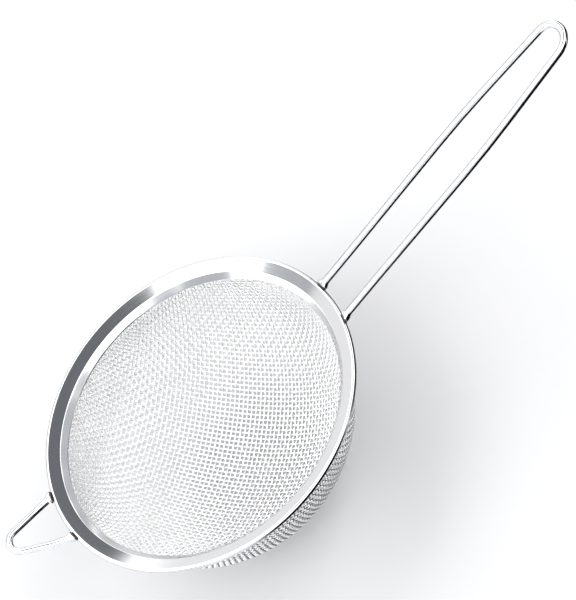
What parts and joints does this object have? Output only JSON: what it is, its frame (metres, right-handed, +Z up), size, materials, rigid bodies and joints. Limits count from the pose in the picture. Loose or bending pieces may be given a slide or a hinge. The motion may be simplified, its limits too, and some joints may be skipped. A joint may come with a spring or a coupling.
{
  "type": "tea strainer",
  "caption": "Hand-held tea strainer: a round woven wire bowl in a folded steel rim, with a long wire loop handle and a short wire rest hook.",
  "frame": {"origin": "centre of the rim's flat underside, the ring that sits on a cup or a teapot", "axes": "+Z up out of the bowl, +X along the handle, +Y to the left when looking along the handle"},
  "size_m": [0.2141, 0.1, 0.0747],
  "materials": {
    "rim_steel": "polished stainless strip",
    "wire_cloth": "bright drawn stainless wire, plain woven",
    "handle_steel": "electropolished stainless wire",
    "weld_steel": "spot-weld nugget, slightly heat-tinted"
  },
  "bodies": {
    "root": {"rim_band": "rim_steel", "mesh_bowl": "wire_cloth", "handle_wire": "handle_steel", "rest_hook": "handle_steel", "handle_welds": "weld_steel", "hook_welds": "weld_steel"}
  },
  "joints": []
}
